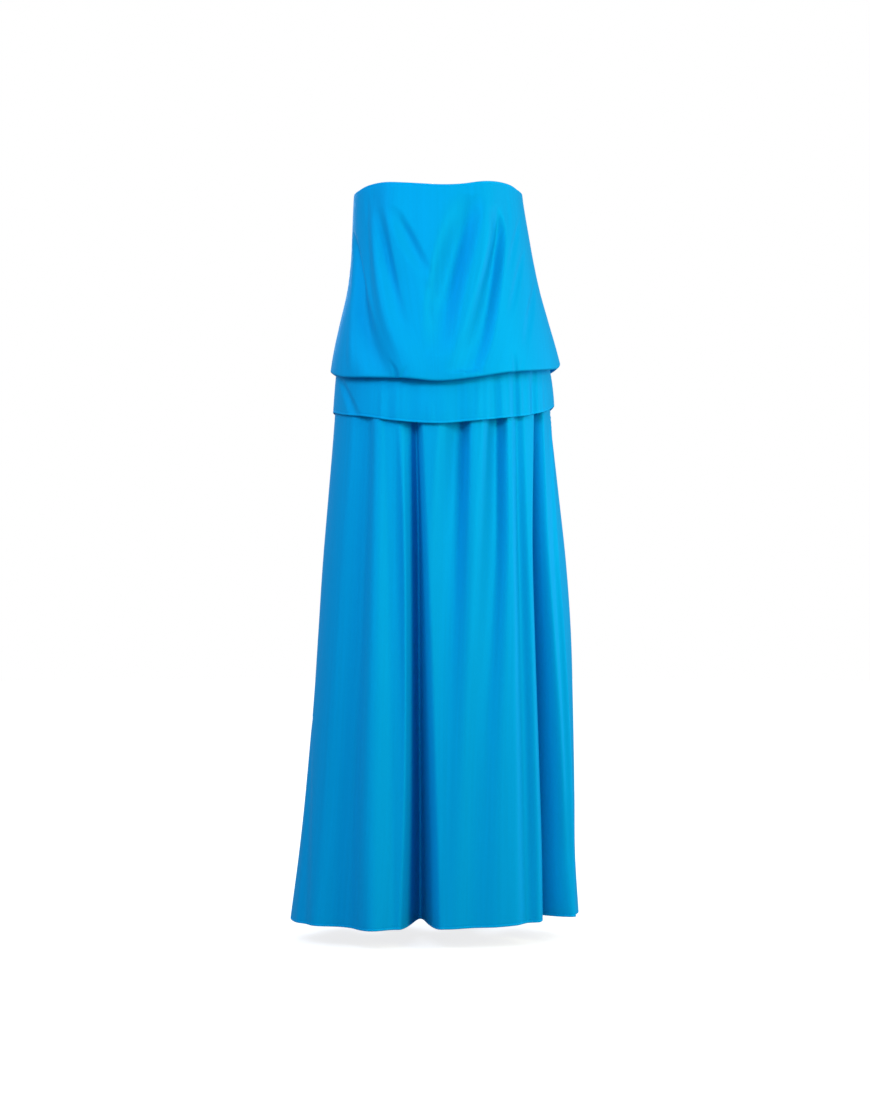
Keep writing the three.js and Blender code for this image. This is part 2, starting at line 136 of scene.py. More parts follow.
# Folds: each row gives the height of its top and its bottom, and then lists that stand at equal steps down it.
# They are its distance from the centre line, its depth, which is positive in a trough and negative on a ridge,
# and how far it spreads along the cloth, to -X and then to +X, or once where both are the same. The last pair,
# for the deep folds that the mesh's columns follow, says how steep its two sides are.
BODICE_FOLDS = {
    "front": [
        (20, -165, (-82, -78), (-3, -7, -4, 0), (40, 44)),
        (20, -165, (82, 78), (-3, -7, -4, 0), (40, 44)),
        (-32, -280, (-98, -88, -74, -52), (0, 8, 4, 0), (22, 26, 26), (13, 17, 20)),
        (-30, -160, (-76, -58, -37, -14), (0, 6, 5, 0), (18, 24, 20), (14, 18, 17)),
        (
            -15, -336, (-116, -110, -104, -96, -84, -65, -50), (0, -4, -6, -7, -7, -6, -4),
            (14, 18, 24, 28, 30), (18, 22, 30, 42, 54),
        ),
        (-145, -240, (-28, 2), (0, 1.6, 1.6, 0), (14, 17, 15)),
        (
            -60, -330, (-148, -141, -137, -134, -125, -110, -88), (0, 9, 14, 14, 12, 8, 3),
            (18, 26, 34, 44, 52), (14, 18, 26, 30, 30),
        ),
        (-12, -290, (60, 36, 14, 0), (0, 22, 19, 0), (46, 46, 38), (28, 31, 31)),
        (-28, -312, (98, 106, 102, 94, 85, 74, 58), (0, 12, 18, 17, 16, 13, 6), (22, 28, 38, 50), (12, 16, 20, 22)),
        (-38, -150, (143, 120), (0, 2.4, 2, 0), (8, 11, 8)),
        (-96, -225, (149, 122), (0, 3, 2.6, 0), (9, 12, 10)),
        (-145, -275, (170, 149), (0, 3.4, 3, 0), (9, 14, 10)),
        (-236, -322, (-152, -148), (0, -1.6, -1.6, 0), (10, 14, 12)),
    ],
    "back": [
        (-20, -300, (-96, -92, -82, -60), (0, 6, 6, 2), (20, 26)),
        (-30, -290, (-20, 10), (0, 4.5, 4.5, 0), (22, 28)),
        (-24, -320, (84, 92, 88, 66), (0, 6.5, 6.5, 3), (20, 28), (18, 28)),
    ],
}
TIER_FOLDS = {
    "front": [
        (-316, -392, (-172, -140), (0, 3.6, 4, 2), (16, 18), (14, 16)),
        (-306, -412, (-84, -84), (0, 0.8, 1.2, 1.4), (12, 12), (10, 10)),
        (-306, -412, (-47, -47), (0, 1.2, 1.8, 2), (16, 18), (20, 24)),
        (-306, -412, (28, 36), (0, 1.8, 2.6, 3), (30, 34), (22, 24)),
        (-302, -410, (94, 97), (0, 2, 2.8, 3), (14, 14)),
        (-298, -405, (131, 134), (0, 4, 5.2, 5.2), (14, 14), (11, 12)),
        (-294, -400, (164, 166), (0, 4, 5.2, 5.2), (12, 12), (11, 12)),
    ],
    "back": [
        (-304, -412, (-110, -110), (0, 1.8, 2.6, 2.8), (26, 26), (22, 22)),
        (-304, -412, (-30, -30), (0, 1.6, 2.2, 2.4), (24, 24), (28, 28)),
        (-304, -412, (62, 62), (0, 1.8, 2.6, 2.8), (30, 30), (24, 24)),
        (-300, -406, (132, 132), (0, 1.6, 2.4, 2.6), (20, 20), (18, 18)),
    ],
}
SKIRT_FOLDS = {
    "front": [
        (
            *FALL, (-43, -41, -39, -38, -37, -36, -36), (8, 24, 36, 48, 62, 80, 98),
            (48, 26, 20, 19, 20, 24, 30), (14, 19, 24, 30, 34, 38, 42), (0.0, 0.15),
        ),
        (*FALL, (-43, -41, -39, -38, -37, -37, -37), (0, 10, 18, 22, 25, 28, 30), (7, 9, 11, 13, 16, 19)),
        (
            *FALL, (177, 177, 179, 188, 199, 208, 214), (10, 20, 28, 34, 40, 46, 52),
            (22, 21, 24, 31, 40, 46, 50), (12, 14, 17, 20, 22, 24, 26), (0.0, 0.2),
        ),
        (*FALL, (177, 177, 179, 188, 199, 208, 214), (2, 12, 20, 26, 30, 34, 38), (8, 9, 11, 13, 15)),
        (*FALL, (194, 197, 204, 214, 222, 227, 231), (0, -3, -5, -7, -8, -8, -8), (8, 10, 12, 14), (6, 8, 10)),
        (
            *FALL, (-124, -126, -133, -142, -152, -162, -172), (6, 6, 7, 8, 9, 11, 13),
            (26, 34, 42, 46, 50, 52, 54), (16, 24, 30, 36, 40, 44, 48),
        ),
        (
            *FALL, (-101, -103, -105, -107, -110, -111, -110), (-3, -5, -8, -11, -14, -18, -22),
            (16, 20, 26, 32, 38, 44, 46), (16, 19, 22, 28, 34, 38, 40),
        ),
        (
            *FALL, (-73, -73, -71, -69, -67, -66, -64), (0, 4, 7, 6, 4, 2, 0),
            (20, 26, 30, 32, 32, 32, 32), (14, 16, 18, 20, 22, 24, 24),
        ),
        (
            *FALL, (45, 41, 31, 23, 18, 12, 8), (13, 23, 18, 11, 6, 3, 0),
            (32, 48, 52, 48, 44, 42, 40), (13, 16, 24, 29, 32, 34, 34),
        ),
        (
            *FALL, (107, 106, 102, 92, 80, 73, 68), (16, 20, 17, 13, 9, 7, 5),
            (26, 38, 44, 44, 42, 40, 40), (13, 15, 20, 26, 32, 34, 36), (0.0, 0.0),
        ),
        (*FALL, (136, 140, 146, 152, 157), (5, 8, 9, 10, 10), (13, 17, 22, 26), (12, 15, 19, 23)),
    ],
    "back": [
        (*FALL, (78, 84, 92, 102), (8, 34, 60, 84), (18, 52), (12, 34), (0.5, 1)),
        (*FALL, (-26, -14), (8, 22, 38, 54), (18, 56), (16, 54), (0.3, 0.3)),
        (*FALL, (-116, -125, -142), (8, 32, 54, 76), (12, 36), (18, 50), (1, 0.5)),
        (*FALL, (28, 38), (2, -4, -9, -14), (16, 36)),
        (*FALL, (-74, -78), (4, 6, -2, -8), (14, 32)),
        (*FALL, (184, 200, 212, 222), (2, 6, 11, 16), (14, 42)),
        (*FALL, (-170, -228), (2, 6, 11, 16), (14, 42)),
        (*FALL, (148, 170), (5, 10, 14, 20), (14, 34), (12, 30)),
    ],
}

# Fine creases, in the same form, that the wall solids are too coarse to hold.
BODICE_CREASES = {
    "front": [
        (-298, -334, (-82, -72, -70), (0, 2.6, 4.4), (6, 7)),
        (-308, -334, (-52, -64), (0, 1.2, 1.6), (6, 6)),
        (-276, -318, (126, 131, 133), (0, 1.8, 3.6), (5, 6)),
        (-288, -318, (146, 139), (0, 1, 1.6), (6, 6)),
        (-2, -60, (-124, -116), (0, 0.7, 0.8, 0), (8, 11, 8)),
        (-6, -70, (118, 122), (0, 0.7, 0.8, 0), (8, 11, 8)),
    ],
    "back": [
        (-292, -334, (52, 58), (0, 2.4, 4), (6, 7)),
        (-290, -334, (-98, -92), (0, 2, 3.6), (6, 7)),
        (-60, -210, (40, 30, 28), (0, 1.8, 1.6, 0), (12, 16, 12)),
        (-130, -260, (-142, -128, -122), (0, 2.2, 1.8, 0), (11, 15, 12)),
        (-90, -240, (150, 140, 134), (0, 2.2, 2, 0), (11, 14, 12)),
        (-180, -300, (-44, -36), (0, 1.4, 1.2, 0), (11, 14, 11)),
    ],
}
TIER_CREASES = {
    "front": [
        (-318, -412, (-97, -97), (0, -0.6, -0.8, -0.6), (6, 8)),
        (-318, -412, (-70, -71), (0, -0.6, -0.9, -0.7), (6, 8)),
        (-352, -412, (-16, -12), (0, -0.9, -1.2), (8, 12)),
        (-316, -408, (70, 66), (0, -0.7, -1, -1), (8, 12)),
        (-312, -408, (108, 112), (0, -0.9, -1.2, -1), (7, 10)),
        (-304, -400, (146, 148), (0, 0.6, 0.9, 0.8), (6, 9)),
        (-300, -392, (178, 180), (0, -0.9, -1.2, -1), (7, 9)),
    ],
    "back": [
        (-318, -412, (-146, -140), (0, 0.8, 1.1, 0.9), (8, 12)),
        (-318, -412, (-68, -70), (0, -0.9, -1.1, -0.9), (8, 12)),
        (-318, -412, (6, 4), (0, -0.9, -1.1, -0.9), (8, 12)),
        (-318, -412, (98, 96), (0, -0.9, -1.2, -1), (8, 12)),
    ],
}
SKIRT_CREASES = {
    "front": [
        (-300, -560, (-90, -91), (0.6, 0.7, 0.3, 0), (5, 6)),
        (-300, -600, (8, 6), (0.4, 0.3, 0.2, 0), (5, 8)),
        (-300, -640, (72, 68), (0.4, 0.4, 0.2, 0), (5, 8)),
        (-300, -600, (-140, -146), (0.6, 0.5, 0.2, 0), (8, 12)),
        (-760, -1262, (58, 54, 50), (0, 1.6, 2.6, 3), (20, 32)),
        (-700, -1262, (-212, -222, -232), (0, 2, 4, 5), (16, 26)),
    ],
    "back": [
        (-300, -620, (4, 6), (0.6, 0.5, 0.3, 0), (6, 9)),
        (-300, -700, (52, 52), (0.8, 0.6, 0.3, 0), (6, 10)),
        (-300, -560, (108, 110), (0.6, 0.5, 0.3, 0), (5, 8)),
        (-300, -640, (-54, -54), (0.8, 0.6, 0.3, 0), (6, 9)),
        (-300, -700, (-94, -96), (0.6, 0.5, 0.3, 0), (6, 9)),
        (-300, -600, (-140, -144), (0.6, 0.5, 0.3, 0), (6, 9)),
        (-760, -1262, (-176, -190), (0, -2, -4, -6), (14, 26)),
        (-700, -1262, (60, 64), (0, -2, -5, -8), (14, 24)),
    ],
}

# The bodice's threads lean in towards the centre between two heights, by this many degrees at most.
GATHER_ANGLE = 17
GATHER_TOP = -50
GATHER_BOTTOM = -310

# The radius of the turn at the bodice's lower edge, and how far its return stands off the tier at the seam.
BODICE_TURN_RADIUS = 3
BODICE_RETURN_GAP = 0.8

# How the weave is drawn: the twill's slant in degrees and its bands to a thread, how its streaks are drawn out
# along the warp, the tones of the cloth, of the highlight painted lighter into its colour along the edges and of the
# sewing thread, and how far its roughness varies and rises on the wrong side.
TWILL_ANGLE = 32
TWILL_BANDS = 0.16
STREAK_SCALE = (190.0, 3.5, 1.0)
STREAK_PLACES = (0.3, 0.7)
STREAK_TONES = (0.97, 1.02)
# Painted highlight: near the edges the cloth's colour is lightened towards this tone, by at most this share.
EDGE_SHEEN_TONE = 1.35
EDGE_SHEEN_SHARE = 0.22
THREAD_TONES = (0.95, 1.25)
ROUGHNESS_SPREAD = 0.05
WRONG_SIDE_DULLER = 0.25

# The stitched edges, each with its layer and 1 where its stitches stand above it. Then the points of their
# path on each side of the dress, and how far the thread sinks into the cloth.
STITCHED_EDGES = {"neckline": ("bodice", -1), "tier_hem": ("tier", 1), "skirt_hem": ("skirt", 1)}
STITCH_PATH_POINTS = 700
STITCH_SINK = 0.12

# The rows of the cloth's turn at the bodice's lower edge, and of its return to the hip seam. Over the last
# millimetres before the turn the seam lies flat.
TURN_ROWS = 9
RETURN_ROWS = 10
TURN_EASE = 2

# The flat size of each panel's cut, width by height, in metres, and how deep the layers' side seams lie.
CUTS = {
    "bodice": {"front": (0.52, 0.42), "back": (0.46, 0.41)},
    "tier": {"front": (0.50, 0.135), "back": (0.49, 0.135)},
    "skirt": {"front": (0.98, 0.99), "back": (0.98, 0.99)},
}
SEAM_DEPTHS = {"bodice": 5.0, "tier": 0.8, "skirt": 5.0}

# The floor's corners, its glow (painted light, whiter further out) and its grey near the dress and far off, and
# the camera's sensor in millimetres.
FLOOR_SIDES = 96
FLOOR_GLOW_AND_GREY = {"Emission Color": (0.8, 1.0), "Base Color": (0.45, 0.3)}
SENSOR_WIDTH = 36

# The lights, in metres: where each hangs, its size, and the property that holds its colour. All are aimed at
# the hip.
HIP = Vector((0, 0, -0.5))
LIGHTS = {
    "key": ((1.95, -1.75, 0.15), (1.0, 1.6), "key_colour"),
    "top": ((-0.6, -2.9, 1.1), (1.8, 0.9), "soft_colour"),
    "left": ((-2.2, -1.1, 0.9), (0.8, 1.6), "soft_colour"),
    "right": ((2.5, 0.35, -0.4), (0.6, 1.6), "soft_colour"),
    "back": ((-0.4, 2.6, 0.9), (2.2, 1.6), "soft_colour"),
}

# The heights at which each layer's cloth is measured, so that its columns stand evenly along it.
SPREAD_HEIGHTS = {"bodice": (-60, -180, -300), "tier": (-350, -390), "skirt": (-420, -700, -1000, -1250)}

# Rows that stand close to an edge, by their distance from it, how far the highlight painted near an edge reaches
# in, and the rows of the turned-in hem.
EDGE_ROWS = (1.6, 2.6, 3.4, 4.2, 5.0, 6.0, 7.5, 10.0)
EDGE_SHEEN_BAND = (3, 9)
HEM_TURN_STEPS = 5
HEM_ROWS = (2.2, 3.6, 5.0, 6.2)

# The side seam: how far from it each added column stands, in degrees, and how deep it lies. The back's
# allowance is tucked behind the front's, so that no light shows between the two. A panel's even columns keep
# clear of the outermost of these by SEAM_MARGIN, and the seam flattens over SEAM_TAPER near an edge.
SEAM_SHOULDER = ((0.9, 0.0), (0.5, 0.12), (0.28, 0.35), (0.12, 0.75), (0.035, 1.2))
SEAM_FIN = ((0.03, 2.2), (0.03, 3.4), (0.03, 4.8))
SEAM_TUCK = ((0.03, 6.0), (-0.25, 6.6))
SEAM_MARGIN = 1.3
SEAM_TAPER = (1.0, 10.0)


def track(places, values):
    """A smooth curve through the values: it gives the value at any place, and holds its two ends."""
    places, values = np.asarray(places, float), np.asarray(values, float)
    last = len(places) - 1
    before = np.maximum(np.arange(last + 1) - 1, 0)
    after = np.minimum(np.arange(last + 1) + 1, last)
    slopes = (values[after] - values[before]) / (places[after] - places[before])

    def value(at):
        at = np.clip(at, places[0], places[-1])
        i = np.clip(np.searchsorted(places, at, side="right") - 1, 0, last - 1)
        span = places[i + 1] - places[i]
        t = (at - places[i]) / span
        rise = t * t * (3 - 2 * t)
        bend = span * (slopes[i] * t * (1 - t) ** 2 - slopes[i + 1] * t * t * (1 - t))
        return values[i] + (values[i + 1] - values[i]) * rise + bend

    return value


def edge_track(points):
    """An edge's height at any angle: its points are repeated a turn before and after, so that it closes."""
    before = [(angle - FULL_TURN, z) for angle, z in points[-3:]]
    after = [(angle + FULL_TURN, z) for angle, z in points[:3]]
    return track(*zip(*(before + points + after)))


def smooth_step(low, high, value):
    """0 below low, 1 above high, and an even rise between them."""
    t = np.clip((value - low) / (high - low), 0, 1)
    return t * t * (3 - 2 * t)


def unit(vectors):
    """The vectors at a length of 1."""
    return vectors / np.maximum(np.linalg.norm(vectors, axis=-1, keepdims=True), SHORTEST)


class Layer:
    """One of the dress's three layers: its plain rings, its folds, and how its threads run."""

    def __init__(self, name, sections, folds, creases):
        self.name = name
        columns = dict(zip(SECTION_COLUMNS, np.array(sections, float).T))
        down = -columns["z"]
        self.size = {name: track(down, columns[name]) for name in SECTION_COLUMNS[1:]}
        rows = [(face, row) for table in (folds, creases) for face in ("front", "back") for row in table[face]]
        self.folds = [Fold(self, face, *row) for face, row in rows]

    def ring(self, angle, z):
        """The plain ring, with no folds, at an angle and a height."""
        turn = np.radians(angle)
        wide, deep = np.sin(turn), -np.cos(turn)
        fuller = 1 + self.size["full"](-z) * np.sin(2 * turn) ** 2
        width = np.where(wide < 0, self.size["left"](-z), self.size["right"](-z))
        depth = np.where(deep < 0, self.size["front"](-z), self.size["back"](-z))
        return np.stack([width * wide * fuller, depth * deep * fuller], axis=-1)

    def tangent(self, angle, z, step=0.05):
        """How the ring moves on for each degree."""
        return (self.ring(angle + step, z) - self.ring(angle - step, z)) / (2 * step)

    def directions(self, angle, z):
        """The directions along the ring and straight out of it."""
        along = unit(self.tangent(angle, z))
        return along, np.stack([along[..., 1], -along[..., 0]], axis=-1)

    def angle_at(self, face, x, z):
        """The angle where the ring's front or back crosses a distance from the centre line."""
        low = np.full(np.shape(z), -float(SIDE_SEAM))
        high = -low
        for _ in range(SEARCH_STEPS):
            middle = (low + high) / 2
            short = self.ring(middle, z)[..., 0] < x
            low, high = np.where(short, middle, low), np.where(short, high, middle)
        return low if face == "front" else 2 * SIDE_SEAM - low

    def point(self, angle, z):
        """A point of the folded cloth. A trough moves it in, and a steep side is drawn to its edge."""
        angle, z = np.broadcast_arrays(np.asarray(angle, float), np.asarray(z, float))
        place = self.ring(angle, z)
        along, out = self.directions(angle, z)
        inwards, aside = np.zeros(z.shape), np.zeros(z.shape)
        for fold in self.folds:
            near, depth, pull = fold.shape(angle, z)
            inwards[near] += depth
            aside[near] += pull
        place = place - out * inwards[..., None] + along * aside[..., None]
        return np.concatenate([place, z[..., None]], axis=-1)

    def angle_of(self, column, z):
        """The angle of a column of the mesh at a height. A column is named by its angle at the foot."""
        return np.broadcast_to(column, np.broadcast(column, z).shape).astype(float)

    def skin(self, column, z):
        """Points of the cloth and their outward normals, at columns and heights."""
        aside, down = 0.02, 0.2
        here = self.point(self.angle_of(column, z), z)
        right = self.point(self.angle_of(column + aside, z), z) - self.point(self.angle_of(column - aside, z), z)
        lower = self.point(self.angle_of(column, z - down), z - down)
        upper = self.point(self.angle_of(column, z + down), z + down)
        return here, unit(np.cross(lower - upper, right))

    def spread(self, start, stop, count):
        """Columns at equal steps along the folded cloth, counted at a few heights together."""
        names = np.linspace(start, stop, COLUMN_SAMPLES + 1)
        lengths = np.zeros(COLUMN_SAMPLES)
        for z in SPREAD_HEIGHTS[self.name]:
            at = np.full(names.shape, float(z))
            lengths += np.linalg.norm(np.diff(self.point(self.angle_of(names, at), at), axis=0), axis=-1)
        so_far = np.concatenate([[0], np.cumsum(lengths)])
        return np.interp(np.linspace(0, so_far[-1], count + 1), so_far, names)


class Fold:
    """A soft trough or ridge that runs down a layer."""

    def __init__(self, layer, face, top, bottom, at, depth, left, right=None, steep=None):
        right = right or left
        self.front = face == "front"
        self.top, self.bottom = top, bottom
        self.guide = steep is not None
        self.steep = steep or (0, 0)
        at, self.depth, self.left, self.right = (
            track(np.linspace(0, 1, len(values)), values) for values in (at, depth, left, right)
        )
        self.widest = OVERSPREAD * max(*left, *right)
        self.heights = np.linspace(self.bottom - 2, self.top, TABLE_HEIGHTS)
        self.centres = layer.angle_at(face, at(self.share(self.heights)), self.heights)
        self.speeds = np.linalg.norm(layer.tangent(self.centres, self.heights), axis=-1)

    def share(self, z):
        """How far down the fold a height lies, from 0 to 1."""
        return (self.top - z) / (self.top - self.bottom)

    def centre(self, z):
        return np.interp(z, self.heights, self.centres)

    def shape(self, angle, z):
        """Which points the fold reaches, how far it moves them in, and how far along the ring."""
        turned = (angle - self.centre(z) + 1.5 * FULL_TURN) % FULL_TURN - FULL_TURN / 2
        distance = turned * np.interp(z, self.heights, self.speeds)
        share = self.share(z)
        near = (np.abs(distance) < self.widest) & (share >= 0) & (share <= FOLD_END)
        distance, share = distance[near], share[near]
        leftwards = (distance < 0) == self.front
        reach = np.where(leftwards, self.left(share), self.right(share))
        steep = np.where(leftwards, *self.steep)
        step = np.clip(1 - np.abs(distance) / reach, 0, 1)
        depth = self.depth(share) * (1 - np.cos(np.pi * step)) / 2
        pull = -np.sign(distance) * reach * steep * VERTICAL_WALL * np.sin(2 * np.pi * step)
        return near, depth, pull


class Bodice(Layer):
    """Its columns run with the threads, which lean in towards the centre."""

    def angle_of(self, column, z):
        share = np.clip((GATHER_TOP - z) / (GATHER_TOP - GATHER_BOTTOM), 0, 1)
        return column + GATHER_ANGLE * (1 - 2 * share) * np.sin(2 * np.radians(column))


class Skirt(Layer):
    """Its columns keep to its steep folds, which are its guides."""

    def __init__(self, *tables):
        super().__init__(*tables)
        sides = [-SIDE_SEAM, SIDE_SEAM, FULL_TURN - SIDE_SEAM]
        guides = [fold for fold in self.folds if fold.guide]
        self.heights = np.linspace(*FALL[::-1], TABLE_HEIGHTS)
        rows = [np.full(TABLE_HEIGHTS, float(side)) for side in sides]
        rows += [fold.centre(self.heights) for fold in guides]
        self.guides = sorted(rows, key=lambda row: row[0])

    def angle_of(self, column, z):
        column, z = np.broadcast_arrays(np.asarray(column, float), np.asarray(z, float))
        feet = np.array([row[0] for row in self.guides])
        i = np.clip(np.searchsorted(feet, column, side="right") - 1, 0, len(feet) - 2)
        here = np.stack([np.interp(z, self.heights, row) for row in self.guides], axis=-1)
        low = np.take_along_axis(here, i[..., None], axis=-1)[..., 0]
        high = np.take_along_axis(here, i[..., None] + 1, axis=-1)[..., 0]
        return low + (high - low) * (column - feet[i]) / (feet[i + 1] - feet[i])


layers = {
    "bodice": Bodice("bodice", BODICE_SECTIONS, BODICE_FOLDS, BODICE_CREASES),
    "tier": Layer("tier", TIER_SECTIONS, TIER_FOLDS, TIER_CREASES),
    "skirt": Skirt("skirt", SKIRT_SECTIONS, SKIRT_FOLDS, SKIRT_CREASES),
}
edges = {
    "neckline": edge_track(NECKLINE),
    "bodice_turn": edge_track(BODICE_TURN),
    "hip_seam": edge_track(HIP_SEAM),
    "tier_hem": edge_track(TIER_HEM),
    "skirt_hem": edge_track(SKIRT_HEM),
}


def edge_height(layer, name, columns):
    """An edge's height at each column of the mesh."""
    edge = edges[name]
    return edge(layer.angle_of(columns, edge(columns)))


class Panel:
    """The grid of one panel: points by row and column, from the inside of the top edge to the end of the hem.

    skin_rows says which rows are the outer face, where the seams may turn in. The third list says how
    strongly a highlight is painted into each point's colour near an edge, from 0 to 1.
    """

    def __init__(self, layer, side, count):
        seam_depth = SEAM_DEPTHS[layer.name]
        start = -SIDE_SEAM if side == "front" else SIDE_SEAM
        stop = start + 2 * SIDE_SEAM
        columns = layer.spread(start, stop, count)
        shoulders = [entry for entry in SEAM_SHOULDER if entry[1] <= seam_depth]
        fins = [entry for entry in SEAM_FIN if entry[1] <= seam_depth]
        if side == "back" and len(fins) == len(SEAM_FIN):
            fins += SEAM_TUCK
        margin = shoulders[0][0] * SEAM_MARGIN
        inner = columns[(columns > start + margin) & (columns < stop - margin)]
        turned = np.array(shoulders + fins)
        self.columns = np.concatenate([(start + turned[:, 0])[::-1], inner, stop - turned[:, 0]])
        plain = np.zeros(len(inner))
        self.seam = np.concatenate([turned[::-1, 1], plain, turned[:, 1]])
        self.fins = len(fins)
        self.layer = layer
        self.rows = []
        self.skin_rows = []
        self.painted_sheen = []

    def add(self, points, skin, painted_sheen=0.0):
        self.rows.append(points)
        self.skin_rows.append(skin)
        self.painted_sheen.append(np.full(len(self.columns), painted_sheen))

    def add_skin(self, z, near, flat_from, settings):
        """A row of the outer face, by its distances from a highlight-painted edge and from where the seams lie flat.
        """
        points, normals = self.layer.skin(self.columns, z)
        depth = self.seam * smooth_step(*SEAM_TAPER, flat_from) + groove_depth(near, settings)
        # Painted highlight: the colour is lightened close to the edge, fading out across the band.
        painted_sheen = float(1 - smooth_step(*EDGE_SHEEN_BAND, near))
        self.add(points - normals * depth[:, None], flat_from > HEM_ROWS[-1], painted_sheen)

    def add_hem(self, edge, radius, upwards):
        """The cloth's turn round a hem and its strip inside. upwards is 1 where the strip goes up, -1 down."""
        rows = []
        z = edge + upwards * radius
        points, normals = self.layer.skin(self.columns, z)
        # The rows of the turn carry the full painted highlight, the strip inside half of it.
        for k in range(1, HEM_TURN_STEPS + 1):
            turn = math.pi * k / HEM_TURN_STEPS
            moved = points - normals * radius * (1 - math.cos(turn))
            moved[:, 2] -= upwards * radius * math.sin(turn)
            rows.append((moved, 1.0))
        for height in HEM_ROWS:
            points, normals = self.layer.skin(self.columns, edge + upwards * height)
            rows.append((points - normals * 2 * radius, 0.5))
        for points, painted_sheen in rows if upwards > 0 else rows[::-1]:
            self.add(points, False, painted_sheen)

    def grid(self):
        """Points, normals, and the mask of the cells that are cloth."""
        points = np.array(self.rows)
        right = np.empty_like(points)
        right[:, 1:-1] = points[:, 2:] - points[:, :-2]
        right[:, 0], right[:, -1] = points[:, 1] - points[:, 0], points[:, -1] - points[:, -2]
        down = np.empty_like(points)
        down[1:-1] = points[2:] - points[:-2]
        down[0], down[-1] = points[1] - points[0], points[-1] - points[-2]
        normals = unit(np.cross(down, right))
        mask = np.ones((points.shape[0] - 1, points.shape[1] - 1), bool)
        if self.fins:
            flat = np.array(self.skin_rows)
            bare = ~(flat[1:] & flat[:-1])
            mask[bare, : self.fins] = False
            mask[bare, -self.fins :] = False
        return points, normals, mask


def main_heights(top, bottom, step, from_top):
    """Heights of the outer face's rows, close together near one edge, and their distances from that edge."""
    last = EDGE_ROWS[-1]
    count = max(2, round(float(np.mean(top - bottom) - last) / step))
    shares = [k / count for k in range(count + 1)]
    if from_top:
        plain = [(top - last) * (1 - share) + bottom * share for share in shares[1:]]
        return [(top - gap, gap) for gap in EDGE_ROWS] + [(z, float(np.mean(top - z))) for z in plain]
    plain = [top * (1 - share) + (bottom + last) * share for share in shares[:-1]]
    return [(z, float(np.mean(z - bottom))) for z in plain] + [(bottom + gap, gap) for gap in reversed(EDGE_ROWS)]


def groove_depth(gap, settings):
    """How far the thread of an edge's stitches draws the cloth in, at a distance from that edge."""
    away = (gap - settings.stitch_inset / MM) / settings.groove_width
    return settings.groove_depth * math.exp(-away * away)


def build_bodice(panel, settings):
    """The bodice: its neckline, its face, its turn at the lower edge and its return to the hip seam."""
    neck = edge_height(panel.layer, "neckline", panel.columns)
    turn = edge_height(panel.layer, "bodice_turn", panel.columns) + BODICE_TURN_RADIUS
    panel.add_hem(neck, settings.hem_roll / MM, -1)
    for z, gap in main_heights(neck, turn, settings.bodice_row_step / MM, from_top=True):
        panel.add_skin(z, gap, min(gap, float(np.mean(z - turn)) + TURN_EASE), settings)
    angle = panel.layer.angle_of(panel.columns, turn)
    out = panel.layer.directions(angle, turn)[1]
    edge = panel.rows[-1]
    for k in range(1, TURN_ROWS + 1):
        swing = math.pi * k / TURN_ROWS
        moved = edge.copy()
        moved[:, :2] += out * BODICE_TURN_RADIUS * (math.cos(swing) - 1)
        moved[:, 2] -= BODICE_TURN_RADIUS * math.sin(swing)
        panel.add(moved, False)
    start = panel.rows[-1]
    seam_z = edges["hip_seam"](angle)
    seam = layers["tier"].point(angle, seam_z)
    seam[:, :2] += layers["tier"].directions(angle, seam_z)[1] * BODICE_RETURN_GAP
    for k in range(1, RETURN_ROWS + 1):
        share = k / RETURN_ROWS
        moved = start + (seam - start) * (share * share * (3 - 2 * share))
        moved[:, 2] = start[:, 2] + (seam[:, 2] - start[:, 2]) * share
        panel.add(moved, False)


def build_hanging(panel, settings):
    """A layer that hangs from the hip seam to its own hem."""
    name = panel.layer.name
    top = edge_height(panel.layer, "hip_seam", panel.columns)
    hem = edge_height(panel.layer, f"{name}_hem", panel.columns)
    for z, gap in main_heights(top, hem, getattr(settings, f"{name}_row_step") / MM, from_top=False):
        panel.add_skin(z, gap, gap, settings)
    panel.add_hem(hem, settings.hem_roll / MM, 1)


def run_along(points, axis):
    """How far along the cloth each point lies, counted along one axis of the grid."""
    steps = np.linalg.norm(np.diff(points, axis=axis), axis=-1)
    return np.insert(np.cumsum(steps, axis=axis), 0, 0, axis=axis)


